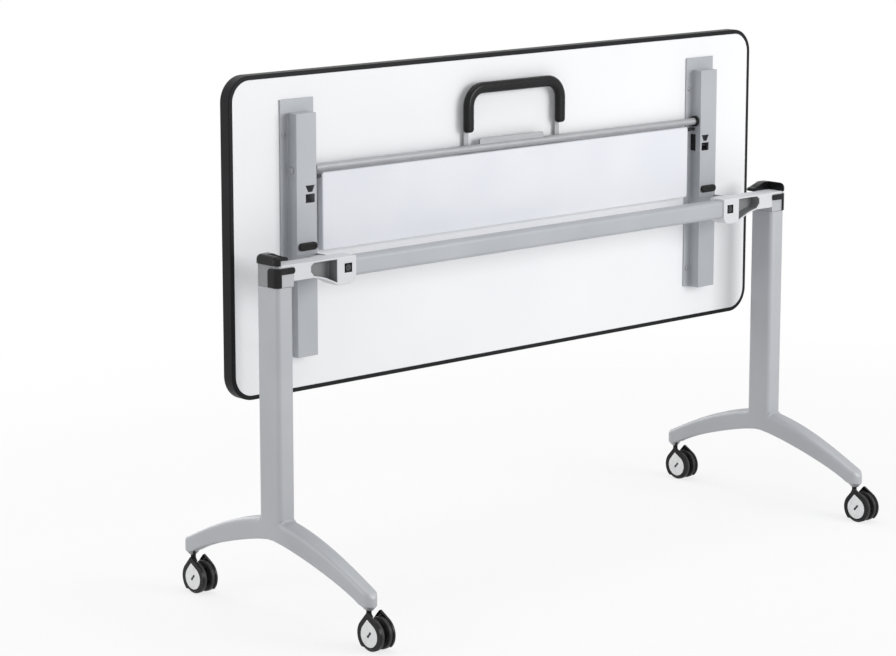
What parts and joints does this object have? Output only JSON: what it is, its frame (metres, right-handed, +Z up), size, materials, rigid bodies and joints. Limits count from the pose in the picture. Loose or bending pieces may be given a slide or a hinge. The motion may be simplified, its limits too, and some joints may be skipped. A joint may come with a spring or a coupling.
{
  "type": "flip top training table",
  "caption": "Folding training table on casters: a flip top with release handle, latch gear and modesty panel on two columns, a cross beam and arched feet.",
  "frame": {"origin": "on the floor under the middle of the table's box", "axes": "+X along the table, +Z up, -Y the side that the release handle faces when folded"},
  "size_m": [1.4, 0.573, 0.9943],
  "materials": {
    "board_laminate": "satin white laminate",
    "edge_band": "satin moulded edging",
    "silver_coat": "silver powder coat",
    "panel_coat": "pale grey powder coat",
    "grey_steel": "light grey coat",
    "bright_steel": "zinc plated",
    "black_plastic": "satin moulded",
    "pad_rubber": "matte",
    "wheel_tyre": "black tread, pale hub"
  },
  "bodies": {
    "frame": {"cross_beam": "silver_coat", "head_right": "silver_coat", "head_left": "silver_coat", "cap_right": "black_plastic", "cap_left": "black_plastic", "column_right": "silver_coat", "column_left": "silver_coat", "foot_right": "silver_coat", "foot_left": "silver_coat", "pivot_pin_right": "bright_steel", "pivot_pin_left": "bright_steel", "beam_bolt_right": "bright_steel", "beam_bolt_left": "bright_steel", "foot_bolt_right": "bright_steel", "foot_bolt_left": "bright_steel"},
    "top": {"table_top_board": "board_laminate", "edge_band": "edge_band", "bracket_right": "silver_coat", "bracket_left": "silver_coat", "stop_pad_right": "pad_rubber", "stop_pad_left": "pad_rubber", "bracket_screw_1_right": "bright_steel", "bracket_screw_1_left": "bright_steel", "bracket_screw_2_right": "bright_steel", "bracket_screw_2_left": "bright_steel", "bracket_screw_3_right": "bright_steel", "bracket_screw_3_left": "bright_steel", "bracket_screw_4_right": "bright_steel", "bracket_screw_4_left": "bright_steel", "panel_pin_right": "bright_steel", "panel_pin_left": "bright_steel", "latch_spring_right": "bright_steel", "latch_spring_left": "bright_steel"},
    "handle": {"release_rod": "grey_steel", "handle_strap": "grey_steel", "handle_grip": "black_plastic", "release_crank_right": "bright_steel", "release_crank_left": "bright_steel"},
    "latch_bar_right": {"latch_bar_right": "bright_steel"},
    "latch_plunger_right": {"latch_plunger_right": "bright_steel"},
    "latch_bar_left": {"latch_bar_left": "bright_steel"},
    "latch_plunger_left": {"latch_plunger_left": "bright_steel"},
    "panel": {"modesty_panel": "panel_coat"},
    "caster_front_right": {"caster_body_front_right": "black_plastic", "caster_axle_front_right": "bright_steel"},
    "wheel_a_front_right": {"wheel_a_front_right": "wheel_tyre"},
    "wheel_b_front_right": {"wheel_b_front_right": "wheel_tyre"},
    "caster_front_left": {"caster_body_front_left": "black_plastic", "caster_axle_front_left": "bright_steel"},
    "wheel_a_front_left": {"wheel_a_front_left": "wheel_tyre"},
    "wheel_b_front_left": {"wheel_b_front_left": "wheel_tyre"},
    "caster_back_right": {"caster_body_back_right": "black_plastic", "caster_axle_back_right": "bright_steel"},
    "wheel_a_back_right": {"wheel_a_back_right": "wheel_tyre"},
    "wheel_b_back_right": {"wheel_b_back_right": "wheel_tyre"},
    "caster_back_left": {"caster_body_back_left": "black_plastic", "caster_axle_back_left": "bright_steel"},
    "wheel_a_back_left": {"wheel_a_back_left": "wheel_tyre"},
    "wheel_b_back_left": {"wheel_b_back_left": "wheel_tyre"}
  },
  "joints": [
    {"name": "top_flip", "type": "hinge", "parent": "frame", "child": "top", "pos_m": [0, 0.0475, 0.6418], "axis": [1, 0, 0], "range_deg": [0, 90]},
    {"name": "handle_turn", "type": "hinge", "parent": "top", "child": "handle", "pos_m": [0, 0.0895, 0.8148], "axis": [1, 0, 0], "range_deg": [0, 30], "stiffness_Nm_per_rad": 1.5, "springref_deg": -11.46},
    {"name": "latch_bar_right_slide", "type": "slide", "parent": "top", "child": "latch_bar_right", "axis": [0, 0, 1], "range_m": [0, 0.0048], "deforming": ["latch_spring_right"]},
    {"name": "latch_plunger_right_slide", "type": "slide", "parent": "top", "child": "latch_plunger_right", "axis": [0, 1, 0], "range_m": [0, 0.0048]},
    {"name": "latch_bar_left_slide", "type": "slide", "parent": "top", "child": "latch_bar_left", "axis": [0, 0, 1], "range_m": [0, 0.0048], "deforming": ["latch_spring_left"]},
    {"name": "latch_plunger_left_slide", "type": "slide", "parent": "top", "child": "latch_plunger_left", "axis": [0, 1, 0], "range_m": [0, 0.0048]},
    {"name": "panel_hang", "type": "hinge", "parent": "top", "child": "panel", "pos_m": [0, 0.0935, 0.7978], "axis": [1, 0, 0], "range_deg": [-90, 0]},
    {"name": "caster_front_right_swivel", "type": "hinge", "parent": "frame", "child": "caster_front_right", "pos_m": [0.668, -0.2365, 0.077], "axis": [0, 0, 1], "continuous": true},
    {"name": "wheel_a_front_right_roll", "type": "hinge", "parent": "caster_front_right", "child": "wheel_a_front_right", "pos_m": [0.668, -0.2565, 0.03], "axis": [1, 0, 0], "continuous": true},
    {"name": "wheel_b_front_right_roll", "type": "hinge", "parent": "caster_front_right", "child": "wheel_b_front_right", "pos_m": [0.668, -0.2565, 0.03], "axis": [1, 0, 0], "continuous": true},
    {"name": "caster_front_left_swivel", "type": "hinge", "parent": "frame", "child": "caster_front_left", "pos_m": [-0.668, -0.2365, 0.077], "axis": [0, 0, 1], "continuous": true},
    {"name": "wheel_a_front_left_roll", "type": "hinge", "parent": "caster_front_left", "child": "wheel_a_front_left", "pos_m": [-0.668, -0.2565, 0.03], "axis": [1, 0, 0], "continuous": true},
    {"name": "wheel_b_front_left_roll", "type": "hinge", "parent": "caster_front_left", "child": "wheel_b_front_left", "pos_m": [-0.668, -0.2565, 0.03], "axis": [1, 0, 0], "continuous": true},
    {"name": "caster_back_right_swivel", "type": "hinge", "parent": "frame", "child": "caster_back_right", "pos_m": [0.668, 0.2715, 0.077], "axis": [0, 0, 1], "continuous": true},
    {"name": "wheel_a_back_right_roll", "type": "hinge", "parent": "caster_back_right", "child": "wheel_a_back_right", "pos_m": [0.668, 0.2515, 0.03], "axis": [1, 0, 0], "continuous": true},
    {"name": "wheel_b_back_right_roll", "type": "hinge", "parent": "caster_back_right", "child": "wheel_b_back_right", "pos_m": [0.668, 0.2515, 0.03], "axis": [1, 0, 0], "continuous": true},
    {"name": "caster_back_left_swivel", "type": "hinge", "parent": "frame", "child": "caster_back_left", "pos_m": [-0.668, 0.2715, 0.077], "axis": [0, 0, 1], "continuous": true},
    {"name": "wheel_a_back_left_roll", "type": "hinge", "parent": "caster_back_left", "child": "wheel_a_back_left", "pos_m": [-0.668, 0.2515, 0.03], "axis": [1, 0, 0], "continuous": true},
    {"name": "wheel_b_back_left_roll", "type": "hinge", "parent": "caster_back_left", "child": "wheel_b_back_left", "pos_m": [-0.668, 0.2515, 0.03], "axis": [1, 0, 0], "continuous": true}
  ],
  "couplings": [
    {"joint": "latch_bar_right_slide", "follows": "handle_turn", "m_per_rad": 0.009},
    {"joint": "latch_plunger_right_slide", "follows": "handle_turn", "m_per_rad": 0.009},
    {"joint": "latch_bar_left_slide", "follows": "handle_turn", "m_per_rad": 0.009},
    {"joint": "latch_plunger_left_slide", "follows": "handle_turn", "m_per_rad": 0.009}
  ]
}
